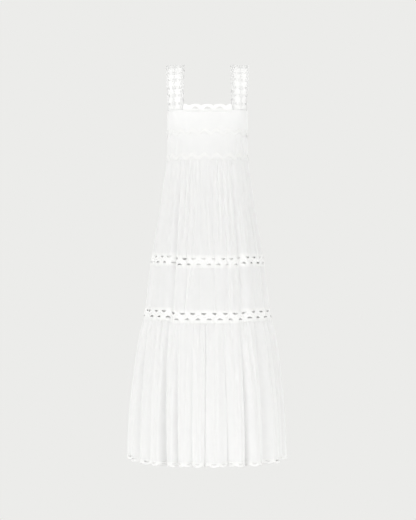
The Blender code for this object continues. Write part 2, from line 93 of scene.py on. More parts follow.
def add_floor():
    """A pale seamless floor, lit so evenly that it shows no edge against the backdrop."""
    mesh = bpy.data.meshes.new("floor")
    shape = bmesh.new()
    bmesh.ops.create_circle(shape, cap_ends=True, segments=96, radius=FLOOR_RADIUS)
    shape.to_mesh(mesh)
    shape.free()
    material = bpy.data.materials.new("floor_paper")
    material.use_nodes = True
    shader = material.node_tree.nodes["Principled BSDF"]
    shader.inputs["Base Color"].default_value = (0, 0, 0, 1)
    shader.inputs["Roughness"].default_value = 1.0
    shader.inputs["Specular IOR Level"].default_value = 0.0
    shader.inputs["Emission Color"].default_value = (*BACKGROUND, 1)
    shader.inputs["Emission Strength"].default_value = 1.0
    mesh.materials.append(material)
    floor = bpy.data.objects.new("floor", mesh)
    for vert in mesh.vertices:
        vert.co.z = FLOOR_HEIGHT
    floor.visible_diffuse = False
    floor.visible_glossy = False
    bpy.context.scene.collection.objects.link(floor)


def add_softbox(name, place, size, power):
    """A rectangular lamp behind a diffuser, turned towards the dress."""
    data = bpy.data.lights.new(name, "AREA")
    data.shape = "RECTANGLE"
    data.size, data.size_y = size
    data.energy = power
    light = bpy.data.objects.new(name, data)
    light.location = place
    light.rotation_euler = (Vector(LIT_SPOT) - Vector(place)).to_track_quat("-Z", "Y").to_euler()
    bpy.context.scene.collection.objects.link(light)


add_camera()
add_world()
add_floor()
add_softbox("key_softbox", place=(-2.6, -3.2, 0.1), size=(2.2, 2.2), power=56)
add_softbox("fill_softbox", place=(2.8, -2.6, -0.4), size=(2.0, 2.4), power=38)
add_softbox("back_softbox", place=(0.6, 3.0, 0.8), size=(2.4, 2.4), power=27)

# The bodice
# Two bands of plain cotton are stretched round the bust. The upper one is smooth, and the lower one is
# eased in beside the bust, with short creases that run down to the waist.
CLOTH_COLOUR = (0.94, 0.94, 0.938)
CLOTH_SHADE = (0.905, 0.907, 0.912)
MOTTLE_SCALE = 38.0
THREAD_PITCH = 0.00055
WEAVE_SHARE = 0.004
SLUB_SHARE = 0.04
SLUB_SCALE = 260.0
CRUMPLE_SCALE = 21.0
CRUMPLE_DEPTH = 0.0016
PANEL_TRANSLUCENCY = 0.75
CLOTH_WALL = 0.0008
RIM_ANGLE = math.radians(60)
NECK_EDGE = -0.154
ARMHOLE_DIP = 0.008
ARMHOLE_TURN = 24
BUST_SEAM = -0.236
WAIST_SEAM = -0.323
SIDE = 90
HALF_TURN = 180
WHOLE_TURN = 360
CREASE_FADE = 4

Section = namedtuple("Section", "height half_width front back squareness")
Crease = namedtuple("Crease", "top_angle top low_angle low width depth")

# The outline of the filled dress, down its whole length, as if a wearer stood in it
FORM = [
    Section(-0.113, 0.1330, 0.088, 0.080, 4.3),
    Section(-0.154, 0.1345, 0.097, 0.086, 4.2),
    Section(-0.193, 0.1350, 0.111, 0.091, 3.2),
    Section(-0.236, 0.1350, 0.121, 0.095, 2.6),
    Section(-0.293, 0.1350, 0.122, 0.096, 2.4),
    Section(-0.323, 0.1375, 0.122, 0.098, 2.35),
    Section(-0.373, 0.1460, 0.126, 0.104, 2.3),
    Section(-0.463, 0.1580, 0.136, 0.119, 2.3),
    Section(-0.553, 0.1735, 0.148, 0.134, 2.3),
    Section(-0.643, 0.1880, 0.161, 0.149, 2.3),
    Section(-0.733, 0.2000, 0.173, 0.161, 2.3),
    Section(-0.845, 0.2155, 0.187, 0.175, 2.3),
    Section(-0.880, 0.2260, 0.193, 0.182, 2.25),
    Section(-0.933, 0.2370, 0.203, 0.193, 2.2),
    Section(-1.013, 0.2480, 0.214, 0.204, 2.2),
    Section(-1.113, 0.2590, 0.225, 0.216, 2.2),
    Section(-1.213, 0.2655, 0.233, 0.224, 2.2),
    Section(-1.323, 0.2690, 0.238, 0.229, 2.2),
]

# Soft creases of the front as seen, and like ones on the back, in degrees and metres
BODICE_CREASES = [
    Crease(-66, -0.239, -62, -0.338, 2.6, 0.0020),
    Crease(-57, -0.233, -55, -0.343, 2.2, -0.0016),
    Crease(-50, -0.241, -47, -0.338, 2.4, 0.0016),
    Crease(-41, -0.243, -40, -0.333, 2.2, 0.0014),
    Crease(-31, -0.248, -31, -0.338, 2.4, 0.0007),
    Crease(35, -0.243, 35, -0.333, 2.4, 0.0009),
    Crease(44, -0.239, 42, -0.338, 2.2, 0.0022),
    Crease(53, -0.233, 49, -0.343, 2.4, 0.0028),
    Crease(62, -0.208, 54, -0.338, 3.2, 0.0036),
    Crease(74, -0.188, 62, -0.323, 3.4, 0.0040),
    Crease(84, -0.198, 71, -0.328, 3.0, 0.0030),
    Crease(-78, -0.203, -70, -0.323, 3.0, 0.0022),
    Crease(104, -0.208, 112, -0.333, 3.2, 0.0028),
    Crease(124, -0.238, 126, -0.338, 2.6, 0.0022),
    Crease(137, -0.238, 136, -0.338, 2.4, 0.0016),
    Crease(214, -0.238, 215, -0.338, 2.4, 0.0016),
    Crease(228, -0.238, 226, -0.338, 2.6, 0.0022),
    Crease(252, -0.208, 245, -0.333, 3.2, 0.0028),
]
UPPER_BODICE_CREASES = [
    Crease(72, -0.143, 80, -0.255, 4.5, 0.0022),
    Crease(58, -0.148, 66, -0.248, 3.6, 0.0012),
    Crease(-70, -0.143, -78, -0.255, 4.5, 0.0014),
    Crease(110, -0.143, 104, -0.255, 4.5, 0.0018),
    Crease(250, -0.143, 256, -0.255, 4.5, 0.0018),
]


class Wire:
    """A shader socket that takes part in sums and products."""

    def __init__(self, tree, socket):
        self.tree, self.socket = tree, socket

    def node(self, kind, settings, inputs, output=0):
        """Any other node: its settings are set first, then its inputs by name or number."""
        node = self.tree.nodes.new("ShaderNode" + kind)
        for name, value in settings.items():
            setattr(node, name, value)
        for name, value in inputs.items():
            if isinstance(value, Wire):
                self.tree.links.new(value.socket, node.inputs[name])
            else:
                node.inputs[name].default_value = value
        return Wire(self.tree, node.outputs[output])

    def math(self, operation, other=0.0):
        return self.node("Math", {"operation": operation}, {0: self, 1: other})

    def __add__(self, other):
        return self.math("ADD", other)

    def __mul__(self, other):
        return self.math("MULTIPLY", other)

    __radd__ = __add__
    __rmul__ = __mul__

    def sin(self):
        return self.math("SINE")

    def noise(self, scale, detail):
        return self.node("TexNoise", {}, {"Vector": self, "Scale": scale, "Detail": detail})


class Cotton:
    """A thin cotton that lets some light through, with a mottled colour and a height for its bumps."""

    def __init__(self, name, translucency):
        self.material = bpy.data.materials.new(name)
        self.material.use_nodes = True
        tree = self.material.node_tree
        self.shader = tree.nodes["Principled BSDF"]
        settings = {"Roughness": 0.88, "Specular IOR Level": 0.25,
                    "Sheen Weight": 0.12, "Sheen Roughness": 0.5,
                    "Subsurface Weight": translucency, "Subsurface Scale": 0.004,
                    "Subsurface Radius": (1.0, 1.0, 1.0)}
        for socket, value in settings.items():
            self.shader.inputs[socket].default_value = value
        coordinates = tree.nodes.new("ShaderNodeTexCoord")
        self.spot = Wire(tree, coordinates.outputs["Object"])
        uv = Wire(tree, coordinates.outputs["UV"])
        self.across = uv.node("SeparateXYZ", {}, {0: uv}, "X")
        self.down = uv.node("SeparateXYZ", {}, {0: uv}, "Y")

    def finish(self, colours, height, distance):
        """Joins the colour and the bumps to the shader. The height is a share of the distance in metres."""
        tree = self.spot.tree
        mottle = self.spot.noise(MOTTLE_SCALE, 4.0)
        inputs = {"Factor": mottle, "A": (*colours[0], 1), "B": (*colours[1], 1)}
        colour = self.spot.node("Mix", {"data_type": "RGBA"}, inputs, "Result")
        tree.links.new(colour.socket, self.shader.inputs["Base Color"])
        bump = self.spot.node("Bump", {}, {"Height": height, "Distance": distance})
        tree.links.new(bump.socket, self.shader.inputs["Normal"])
        return self.material


def poplin(name):
    """A fine plain weave with faint crumples: warp and weft threads pass over and under each other."""
    cotton = Cotton(name, PANEL_TRANSLUCENCY)
    turn = 2 * math.pi / THREAD_PITCH
    weave = (cotton.across * turn).sin() * (cotton.down * turn).sin()
    slubs = cotton.spot.noise(SLUB_SCALE, 3.0)
    crumples = cotton.spot.noise(CRUMPLE_SCALE, 5.0)
    height = WEAVE_SHARE * weave + SLUB_SHARE * slubs + crumples
    return cotton.finish((CLOTH_COLOUR, CLOTH_SHADE), height, CRUMPLE_DEPTH)


def eased(share):
    """A share from 0 to 1 that starts and ends slowly."""
    return share * share * (3 - 2 * share)


FORM_ROWS = np.array(FORM[::-1])
FORM_SLOPES = np.gradient(FORM_ROWS[:, 1:], FORM_ROWS[:, 0], axis=0)


def form_at(height):
    """Half width, front depth, back depth and squareness of the outline, on a smooth curve down FORM."""
    heights = FORM_ROWS[:, 0]
    low = np.clip(np.searchsorted(heights, height) - 1, 0, len(heights) - 2)
    step = (heights[low + 1] - heights[low])[:, None]
    t = (height - heights[low])[:, None] / step
    return (
        FORM_ROWS[low, 1:] * (1 - t) ** 2 * (1 + 2 * t)
        + FORM_ROWS[low + 1, 1:] * t ** 2 * (3 - 2 * t)
        + FORM_SLOPES[low] * step * t * (1 - t) ** 2
        - FORM_SLOPES[low + 1] * step * t ** 2 * (1 - t)
    ).T


def outline_at(angle, height):
    """Points on the plain outline. Angles run from 0 at the front, over 90 at the wearer's left side."""
    half_width, front, back, squareness = form_at(height)
    across = np.sin(np.radians(angle))
    ahead = np.cos(np.radians(angle))
    reach = (np.abs(across) ** squareness + np.abs(ahead) ** squareness) ** (-1 / squareness)
    depth = np.where(ahead > 0, front, back)
    return np.stack([half_width * reach * across, -depth * reach * ahead, height], axis=1)


def level_normals(curve, angle, height, step=0.3):
    """Level directions straight out of a curve round the dress."""
    along = curve(angle + step, height) - curve(angle - step, height)
    normals = np.stack([along[:, 1], -along[:, 0], 0 * height], axis=1)
    return normals / np.linalg.norm(normals, axis=1)[:, None]


def creases_dip(creases):
    """Soft troughs, or ridges where the depth is negative, each drawn from a top to a low end."""

    def dip(angle, height):
        total = 0 * height
        for crease in creases:
            share = (crease.top - height) / (crease.top - crease.low)
            middle = crease.top_angle + (crease.low_angle - crease.top_angle) * share
            off = ((angle - middle + HALF_TURN) % WHOLE_TURN - HALF_TURN) / crease.width
            ends = np.clip(np.minimum(share, 1 - share) * CREASE_FADE, 0, 1)
            total = total + crease.depth * np.exp(-off * off) * eased(ends)
        return total

    return dip


def cloth(*dips, hang=None):
    """A surface function: it takes angles, heights and distances outwards, and gives points."""

    def folded(angle, height):
        sunk = sum((dip(angle, height) for dip in dips), 0 * height)
        return outline_at(angle, height) - level_normals(outline_at, angle, height) * sunk[:, None]

    def place(angle, height, outwards=0.0):
        normals = level_normals(folded, angle, height)
        points = folded(angle, height) + normals * (outwards + 0 * height)[:, None]
        if hang:
            points[:, 2] += hang(angle, height)
        return points

    return place


smooth_bodice = cloth(creases_dip(UPPER_BODICE_CREASES))
eased_bodice = cloth(creases_dip(UPPER_BODICE_CREASES), creases_dip(BODICE_CREASES))


def shown(name, points, faces, loop_uvs, material):
    """Makes a mesh object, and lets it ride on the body."""
    mesh = bpy.data.meshes.new(name)
    mesh.from_pydata([tuple(point) for point in points], [], faces)
    layer = mesh.uv_layers.new(name="cloth_metres")
    layer.data.foreach_set("uv", np.asarray(loop_uvs, dtype=float).ravel())
    mesh.materials.append(material)
    mesh.shade_smooth()
    piece = bpy.data.objects.new(name, mesh)
    bpy.context.scene.collection.objects.link(piece)
    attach(piece, "root")
    return piece


def give_wall(piece, thickness):
    """Thickens a sheet towards the wearer, and closes its edges with sharp corners."""
    shape = bmesh.new()
    shape.from_mesh(piece.data)
    bmesh.ops.remove_doubles(shape, verts=shape.verts[:], dist=2e-5)
    shape.to_mesh(piece.data)
    shape.free()
    wall = piece.modifiers.new("wall", "SOLIDIFY")
    wall.thickness = thickness
    wall.offset = -1
    thickened = piece.evaluated_get(bpy.context.evaluated_depsgraph_get())
    piece.data = bpy.data.meshes.new_from_object(thickened)
    piece.modifiers.clear()
    piece.data.set_sharp_from_angle(angle=RIM_ANGLE)
    return piece


def cloth_lengths(surface, height, steps=2880):
    """Angles all round from the side seam at -90 degrees, and the length of cloth to each."""
    angles = np.linspace(-SIDE, 3 * SIDE, steps + 1)
    points = surface(angles, height + 0 * angles)
    runs = np.linalg.norm(np.diff(points, axis=0), axis=1)
    return angles, np.concatenate([[0], np.cumsum(runs)])


def tube_panel(name, surface, top, bottom, columns, rows):
    """A ring of plain cloth between two edges, which stands for the front and the back panel.

    The top and the bottom are functions that give a height from an angle.
    """
    middle = (top(np.zeros(1)) + bottom(np.zeros(1)))[0] / 2
    angles, lengths = cloth_lengths(surface, middle)
    ring = np.linspace(-SIDE, 3 * SIDE, columns + 1)
    share = np.linspace(0, 1, rows + 1)
    angle = np.tile(ring[:-1], rows + 1)
    up = np.repeat(share, columns)
    height = bottom(angle) + up * (top(angle) - bottom(angle))
    points = surface(angle, height)
    along = np.interp(ring, angles, lengths)
    faces, uvs = [], []
    for row in range(rows):
        low, high = row * columns, (row + 1) * columns
        v0, v1 = height[low], height[high]
        for column in range(columns):
            after = (column + 1) % columns
            faces.append((low + column, low + after, high + after, high + column))
            u0, u1 = along[column], along[column + 1]
            uvs += [(u0, v0), (u1, v0), (u1, v1), (u0, v1)]
    piece = shown(name, points, faces, uvs, poplin(name + "_cotton"))
    give_wall(piece, CLOTH_WALL)
    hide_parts(name + "_front", name + "_back")
    return piece


def level(height):
    return lambda angle: height + 0 * angle


def neck_height(angle):
    """The top edge is level at the neck and dips a little under each arm."""
    from_side = np.abs(angle % HALF_TURN - SIDE)
    return NECK_EDGE - ARMHOLE_DIP * eased(np.clip(1 - from_side / ARMHOLE_TURN, 0, 1))


bodice_upper = tube_panel("bodice_upper", smooth_bodice, neck_height, level(BUST_SEAM),
                          columns=480, rows=26)
bodice_lower = tube_panel("bodice_lower", eased_bodice, level(BUST_SEAM), level(WAIST_SEAM),
                          columns=600, rows=30)

# The wavy ribbons
# A flat wavy braid covers the bust seam and another lies just above the waist seam. Both edges are corded.
# They are the same cotton as the panels under dense stitching, with the thread across each raised edge.
LACE_COLOUR = (0.948, 0.948, 0.944)
LACE_SHADE = (0.92, 0.92, 0.916)
SATIN_PITCH = 0.0009
SATIN_WANDER = 0.4
SATIN_WANDER_RATE = 900.0
FUZZ_SCALE = 420.0
STITCH_DEPTH = 0.00004
LACE_TRANSLUCENCY = 0.35
RIBBON_WIDTH = 0.0125
RIBBON_SWING = 0.0060
RIBBON_REPEATS = 20
RIBBON_LIFT = 0.0010
RIBBON_TRANSLUCENCY = 0.27
RIBBON_WALL = 0.0008
POINTS_A_WAVE = 12
EDGE_CORD = (0.0006, 0.0006)
INNER_CORD = (0.0036, 0.0004)
BUST_RIBBON = -0.2306
WAIST_RIBBON = -0.3110


def embroidery(name, translucency=LACE_TRANSLUCENCY, colours=(LACE_COLOUR, LACE_SHADE)):
    """Close satin stitches, which lie side by side along every raised edge."""
    cotton = Cotton(name, translucency)
    turn = 2 * math.pi / SATIN_PITCH
    satin = (cotton.across * turn + SATIN_WANDER * (cotton.down * SATIN_WANDER_RATE).sin()).sin()
    height = 0.5 * satin + 1.5 * cotton.spot.noise(FUZZ_SCALE, 3.0)
    return cotton.finish(colours, height, STITCH_DEPTH)


class Drawing:
    """Flat embroidery, drawn in metres, that is then laid on the cloth: cut sheets and raised cords."""

    def __init__(self):
        self.points, self.faces, self.uvs = [], [], []

    def add_sheet(self, outline, holes, spacing):
        """A sheet cut to an outline, with holes, and enough points inside to follow the folds."""
        clear = spacing * 0.45
        loops = [np.array(loop) for loop in (outline, *holes)]
        points, borders = [], []
        for loop in loops:
            borders.append(list(range(len(points), len(points) + len(loop))))
            points += [Vector(point) for point in loop]
        lowest, highest = loops[0].min(axis=0), loops[0].max(axis=0)
        rims = np.concatenate(loops)
        gaps = [(loop.min(axis=0), loop.max(axis=0)) for loop in loops[1:]]
        for x in np.arange(lowest[0] + spacing, highest[0] - spacing / 2, spacing):
            near = rims[np.abs(rims[:, 0] - x) < clear]
            cut = [(low[1], high[1]) for low, high in gaps if low[0] < x < high[0]]
            for y in np.arange(lowest[1] + spacing / 2, highest[1], spacing):
                if any(low < y < high for low, high in cut):
                    continue
                if len(near) == 0 or np.min(np.hypot(near[:, 0] - x, near[:, 1] - y)) > clear:
                    points.append(Vector((x, y)))
        triangles_inside, closest = 1, 1e-7
        spots, _, faces, _, _, within = delaunay_2d_cdt(points, [], borders, triangles_inside, closest)
        start = len(self.points)
        self.points += [(spot[0], spot[1], 0.0) for spot in spots]
        for face, borders_round_it in zip(faces, within):
            if list(borders_round_it) == [0]:
                self.faces.append(tuple(start + i for i in face))
                self.uvs += [tuple(spots[i]) for i in face]

    def add_cord(self, path, closed, radius, lift, sides=6):
        """A raised cord of satin stitch along a flat path."""
        path = np.array(path, dtype=float)
        if closed:
            along = np.roll(path, -1, axis=0) - np.roll(path, 1, axis=0)
        else:
            along = np.gradient(path, axis=0)
        along /= np.linalg.norm(along, axis=1)[:, None]
        aside = np.stack([-along[:, 1], along[:, 0]], axis=1)
        runs = np.linalg.norm(np.diff(np.vstack([path, path[:1]]), axis=0), axis=1)
        length = np.concatenate([[0], np.cumsum(runs)])
        start, count = len(self.points), len(path)
        for i in range(count):
            for k in range(sides):
                turn = 2 * math.pi * k / sides
                spot = path[i] + aside[i] * radius * math.cos(turn)
                self.points.append((spot[0], spot[1], lift + radius * math.sin(turn)))
        for i in range(count if closed else count - 1):
            after = (i + 1) % count
            for k in range(sides):
                side = (k + 1) % sides
                corners = ((i, k), (after, k), (after, side), (i, side))
                self.faces.append(tuple(start + a * sides + b for a, b in corners))
                u0, u1 = length[i], length[i + 1]
                v0, v1 = k * radius, (k + 1) * radius
                self.uvs += [(u0, v0), (u1, v0), (u1, v1), (u0, v1)]
        if not closed:
            for i, order in ((0, range(sides)), (count - 1, range(sides - 1, -1, -1))):
                self.faces.append(tuple(start + i * sides + k for k in order))
                self.uvs += [(0, 0)] * sides

    def lay(self, name, place, material):
        """Lays the drawing on the cloth and shows it."""
        x, y, out = np.array(self.points).T
        return shown(name, place(x, y, out), self.faces, self.uvs, material)


def facing_out(piece):
    """Turns every face of a drawing outwards, once it lies on the cloth."""
    shape = bmesh.new()
    shape.from_mesh(piece.data)
    bmesh.ops.recalc_face_normals(shape, faces=shape.faces[:])
    shape.to_mesh(piece.data)
    shape.free()
    return piece


def round_place(surface, middle, top):
    """A placing function for a drawing that runs all round, with y = 0 at the top."""
    angles, lengths = cloth_lengths(surface, middle)
    whole = lengths[-1]

    def place(x, y, outwards):
        turns = np.floor(x / whole)
        angle = np.interp(x - turns * whole, lengths, angles) + turns * WHOLE_TURN
        return surface(angle, top + y, outwards)

    return place, whole


def wavy_ribbon(name, surface, middle):
    top = middle + RIBBON_WIDTH / 2 + RIBBON_SWING
    place, whole = round_place(surface, middle, top)

    def lifted(x, y, outwards):
        return place(x, y, outwards + RIBBON_LIFT)

    xs = np.linspace(0, whole, RIBBON_REPEATS * POINTS_A_WAVE + 1)
    swing = RIBBON_SWING * (np.cos(2 * math.pi * RIBBON_REPEATS * xs / whole) - 1)
    upper = list(zip(xs, swing))
    lower = [(x, y - RIBBON_WIDTH) for x, y in upper]
    braid = Drawing()
    braid.add_sheet(lower + upper[::-1], [], 0.0045)
    piece = braid.lay(name, lifted, embroidery(name + "_braid", RIBBON_TRANSLUCENCY))
    give_wall(piece, RIBBON_WALL)
    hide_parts(name + "_front", name + "_back")
    cords = Drawing()
    for inset, radius in (EDGE_CORD, INNER_CORD):
        cords.add_cord([(x, y - inset) for x, y in upper[:-1]], False, radius, RIBBON_LIFT)
        cords.add_cord([(x, y + inset) for x, y in lower[:-1]], False, radius, RIBBON_LIFT)
    facing_out(cords.lay(name + "_cords", place, embroidery(name + "_cords_thread", RIBBON_TRANSLUCENCY)))


wavy_ribbon("bust_ribbon", smooth_bodice, BUST_RIBBON)
wavy_ribbon("waist_ribbon", eased_bodice, WAIST_RIBBON)

# The neck trims
# A narrow scalloped edging is lapped over the neck edge between the straps, front and back, and stands up
# from it, with an arched gap under each scallop and a corded rim.
STRAP_INNER_EDGE = 0.0805
NECK_TRIM_HEIGHT = 0.017
NECK_TRIM_LAP = 0.0085
NECK_TRIM_VALLEY = 0.0105
NECK_REPEATS = 4
NECK_HOLE_WIDTH = 0.0185
NECK_HOLE_BASE = 0.0005
NECK_HOLE_HEIGHT = 0.0055
NECK_TRIM_LIFT = 0.0011
NECK_TRIM_WALL = 0.0009
SEAM_GAP = 0.0003
ARCH_ROUNDNESS = 0.9
SCALLOP_ROUNDNESS = 0.7
RIM_CORD = 0.0010
HOLE_CORD = 0.0009
FOOT_CORD = 0.0006

plain_form = cloth()


def stitch_row(drawing, start, end, at, pitch=0.0032, length=0.0024, radius=0.0003):
    """A row of small stitches from one flat point to another, along x."""
    for middle in np.arange(start + pitch / 2, end, pitch):
        xs = middle + length * np.array([-0.5, -0.25, 0.25, 0.5])
        widths = radius * np.array([0.35, 1.0, 1.0, 0.35])
        first = len(drawing.points)
        for x, width in zip(xs, widths):
            for k in range(4):
                turn = math.pi / 4 + math.pi / 2 * k
                spot = (x, at + width * math.cos(turn), 0.0001 + width * math.sin(turn))
                drawing.points.append(spot)
        for i in range(3):
            for k in range(4):
                side = (k + 1) % 4
                corners = ((i, k), (i + 1, k), (i + 1, side), (i, side))
                drawing.faces.append(tuple(first + a * 4 + b for a, b in corners))
                drawing.uvs += [(xs[a], b * radius) for a, b in corners]


def arch(centre, base, width, height, points=13):
    """A flat-based arch, or a hanging one where the height is negative, drawn anticlockwise."""
    turns = [math.pi * i / (points - 1) for i in range(points)]
    reach = math.copysign(width / 2, height)
    return [(centre + reach * math.cos(a), base + height * abs(math.sin(a)) ** ARCH_ROUNDNESS)
            for a in turns]


def grown(loop, by):
    """A closed loop, moved outwards from its own middle."""
    loop = np.array(loop)
    off = loop - loop.mean(axis=0)
    return loop + off / np.linalg.norm(off, axis=1)[:, None] * by


def scallop_edge(start, repeat, count, valley, crest, points):
    """The free edge of a trim: a row of rounded scallops, from one valley to the next."""
    edge = []
    for i in range(count):
        for j in range(points):
            share = j / points
            rise = math.sin(math.pi * share) ** SCALLOP_ROUNDNESS
            edge.append((start + (i + share) * repeat, valley + (crest - valley) * rise))
    return edge + [(start + count * repeat, valley)]


def neck_curve(is_front):
    """Angles from the middle of the neck edge to its left side, and the length of edge to each."""
    centre = 0 if is_front else HALF_TURN
    turn = 1 if is_front else -1
    angles = centre + turn * np.linspace(0, SIDE, 361)
    points = plain_form(angles, NECK_EDGE + 0 * angles)
    runs = np.linalg.norm(np.diff(points, axis=0), axis=1)
    return angles, np.concatenate([[0], np.cumsum(runs)])


NECK_CURVES = {is_front: neck_curve(is_front) for is_front in (True, False)}


def on_neck_edge(along, is_front, outwards, above=0.0):
    """Points on or above the neck edge, at lengths from its centre, negative towards -X."""
    angles, lengths = NECK_CURVES[is_front]
    angle = np.interp(np.abs(along), lengths, angles)
    points = plain_form(angle, NECK_EDGE + above + 0 * angle, outwards)
    points[:, 0] = np.copysign(points[:, 0], along)
    return points


def neck_trim(name, is_front):
    half = STRAP_INNER_EDGE - SEAM_GAP
    repeat = 2 * half / NECK_REPEATS
    start = -half - repeat / 2
    top = scallop_edge(start, repeat, NECK_REPEATS + 1, NECK_TRIM_VALLEY, NECK_TRIM_HEIGHT, 14)
    top = [point for point in top if abs(point[0]) <= half + 1e-6]
    base = [(x, -NECK_TRIM_LAP) for x in np.linspace(-half, half, 40)]
    gaps = range(1 - NECK_REPEATS // 2, NECK_REPEATS // 2)
    holes = [arch(i * repeat, NECK_HOLE_BASE, NECK_HOLE_WIDTH, NECK_HOLE_HEIGHT) for i in gaps]

    def place(x, y, outwards):
        return on_neck_edge(x, is_front, outwards + NECK_TRIM_LIFT, y)

    lace = Drawing()
    lace.add_sheet(base + top[::-1], holes, 0.0024)
    piece = lace.lay(name + "_lace", place, embroidery(name + "_cotton"))
    give_wall(facing_out(piece), NECK_TRIM_WALL)
    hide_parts(name)
    cords = Drawing()
    cords.add_cord([(x, y - 0.0009) for x, y in top], False, RIM_CORD, 0.0)
    for hole in holes:
        cords.add_cord(grown(hole, 0.0010), True, HOLE_CORD, 0.0)
    cords.add_cord([(x, 0.0009 - NECK_TRIM_LAP) for x, _ in base], False, FOOT_CORD, 0.0)
    stitch_row(cords, -half, half, 0.0030 - NECK_TRIM_LAP)
    facing_out(cords.lay(name + "_cords", place, embroidery(name + "_cords_thread")))


neck_trim("neck_trim_front", True)
neck_trim("neck_trim_back", False)

# The straps
# Each strap is a wide band of eyelet lace with both edges scalloped. It stands on the neck edge, leans
# back over the shoulder, and has a round eyelet in each scallop.
STRAP_HALF_WIDTH = 0.031
STRAP_SCALLOP = 0.0055
STRAP_REPEATS = 14
STRAP_FOOT = 0.007
STRAP_LAP = 0.003
STRAP_EYELET = 0.0031
STRAP_HOLE_ROW = 0.0195
STRAP_CREST = (0.1075, -0.004)
SHOULDER_SLOPE = math.radians(2)
STRAP_ARCH_SQUARENESS = 2.3
STRAP_WALL = 0.0012
STRAP_CLEARANCE = 0.0001
STRAP_RIPPLE = 0.0007
STRAP_RIM_CORD = (0.0011, 0.0012)
STRAP_INNER_CORD = (0.0050, 0.0007)
FLOWER_CENTRE = 0.0021
PETALS = 6
PETAL_REACH = 0.0066
PETAL_RADIUS = 0.0014
STRAP_TRANSLUCENCY = 0.6
# The straps are the same white cotton as the other lace. Their darker colours are painted shade, which
# stands in for the shade that falls on them.
STRAP_SHADED_COLOURS = ((0.885, 0.885, 0.883), (0.852, 0.853, 0.852))


def circle(x, y, radius, points=14):
    """A closed ring of points, drawn anticlockwise."""
    turns = [2 * math.pi * i / points for i in range(points)]
    return [(x + radius * math.cos(a), y + radius * math.sin(a)) for a in turns]


def strap(name, side):
    middle = STRAP_INNER_EDGE + STRAP_HALF_WIDTH
    at_middle = np.array([middle])
    front_end, back_end = (on_neck_edge(at_middle, front, STRAP_CLEARANCE)[0] for front in (True, False))
    base = NECK_EDGE - STRAP_LAP

    def under(share, across):
        """The underside, from its share of the way over the shoulder and the distance from its middle."""
        turn = math.pi * share
        ahead, up = np.cos(turn), np.sin(turn)
        arm = np.abs(ahead) ** STRAP_ARCH_SQUARENESS + np.abs(up) ** STRAP_ARCH_SQUARENESS
        arm = arm ** (-1 / STRAP_ARCH_SQUARENESS)
        is_front = (share < 0.5)[:, None]
        end = np.where(is_front, front_end, back_end)
        reach = np.abs(ahead) * arm
        x = STRAP_CREST[0] + (end[:, 0] - STRAP_CREST[0]) * reach ** 2
        y = STRAP_CREST[1] + (end[:, 1] - STRAP_CREST[1]) * reach
        line = np.stack([x, y, base * (1 - up * arm)], axis=1)
        flatness = eased(up)[:, None]
        ends = [on_neck_edge(middle + across, front, STRAP_CLEARANCE) for front in (True, False)]
        curved = np.where(is_front, ends[0] - front_end, ends[1] - back_end)
        curved[:, 2] = 0
        slope = np.array([math.cos(SHOULDER_SLOPE), 0, -math.sin(SHOULDER_SLOPE)])
        return line + curved * (1 - flatness) + slope * across[:, None] * flatness

    shares = np.linspace(0, 1, 801)
    runs = np.linalg.norm(np.diff(under(shares, 0 * shares), axis=0), axis=1)
    lengths = np.concatenate([[0], np.cumsum(runs)])
    whole = lengths[-1]

    def place(x, y, outwards):
        share = np.interp(x, lengths, shares)
        step = 0.002
        along = under(np.minimum(share + step, 1), y) - under(np.maximum(share - step, 0), y)
        across = under(share, y + step / 2) - under(share, y - step / 2)
        normal = np.cross(across, along)
        normal /= np.linalg.norm(normal, axis=1)[:, None]
        ripple = STRAP_RIPPLE * np.sin(x * 95 + y * 40) * np.sin(math.pi * x / whole)
        lifted = (outwards + STRAP_WALL + ripple)[:, None]
        return (under(share, y) + normal * lifted) * np.array([side, 1, 1])

    repeat = (whole - 2 * STRAP_FOOT) / STRAP_REPEATS
    narrow = STRAP_HALF_WIDTH - STRAP_SCALLOP
    scallops = scallop_edge(STRAP_FOOT, repeat, STRAP_REPEATS, narrow, STRAP_HALF_WIDTH, 10)
    plain = 0.6 * STRAP_FOOT
    outer = [(0, STRAP_HALF_WIDTH), (plain, STRAP_HALF_WIDTH), *scallops,
             (whole - plain, STRAP_HALF_WIDTH), (whole, STRAP_HALF_WIDTH)]
    centres = [STRAP_FOOT + (i + 0.5) * repeat for i in range(STRAP_REPEATS)]
    middles = [(x, row) for x in centres for row in (STRAP_HOLE_ROW, -STRAP_HOLE_ROW)]
    eyelets = [circle(x, y, STRAP_EYELET) for x, y in middles]
    lace = Drawing()
    lace.add_sheet([(x, -y) for x, y in outer] + outer[::-1], eyelets, 0.0034)
    # The strap lace and its cords take the darker strap colours, which are painted shade.
    piece = lace.lay(name + "_lace", place, embroidery(name + "_cotton", STRAP_TRANSLUCENCY, STRAP_SHADED_COLOURS))
    give_wall(facing_out(piece), STRAP_WALL)
    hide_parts(name)
    cords = Drawing()
    for sign in (1, -1):
        for inset, radius in (STRAP_RIM_CORD, STRAP_INNER_CORD):
            cords.add_cord([(x, sign * (y - inset)) for x, y in outer], False, radius, 0.0)
    for x, y in middles:
        cords.add_cord(circle(x, y, STRAP_EYELET + HOLE_CORD), True, RIM_CORD, 0.0)
    for x in centres:
        cords.add_cord(circle(x, 0, FLOWER_CENTRE, 10), True, RIM_CORD, 0.0)
        for k in range(PETALS):
            a = 2 * math.pi / PETALS * k
            petal = circle(x + PETAL_REACH * math.cos(a), PETAL_REACH * math.sin(a), PETAL_RADIUS, 8)
            cords.add_cord(petal, True, HOLE_CORD, 0.0)
        cords.add_cord(circle(x - repeat / 2, 0, 0.0016, 8), True, HOLE_CORD, 0.0)
    thread = embroidery(name + "_cords_thread", STRAP_TRANSLUCENCY, STRAP_SHADED_COLOURS)
    facing_out(cords.lay(name + "_cords", place, thread))


strap("strap_left", 1)
strap("strap_right", -1)

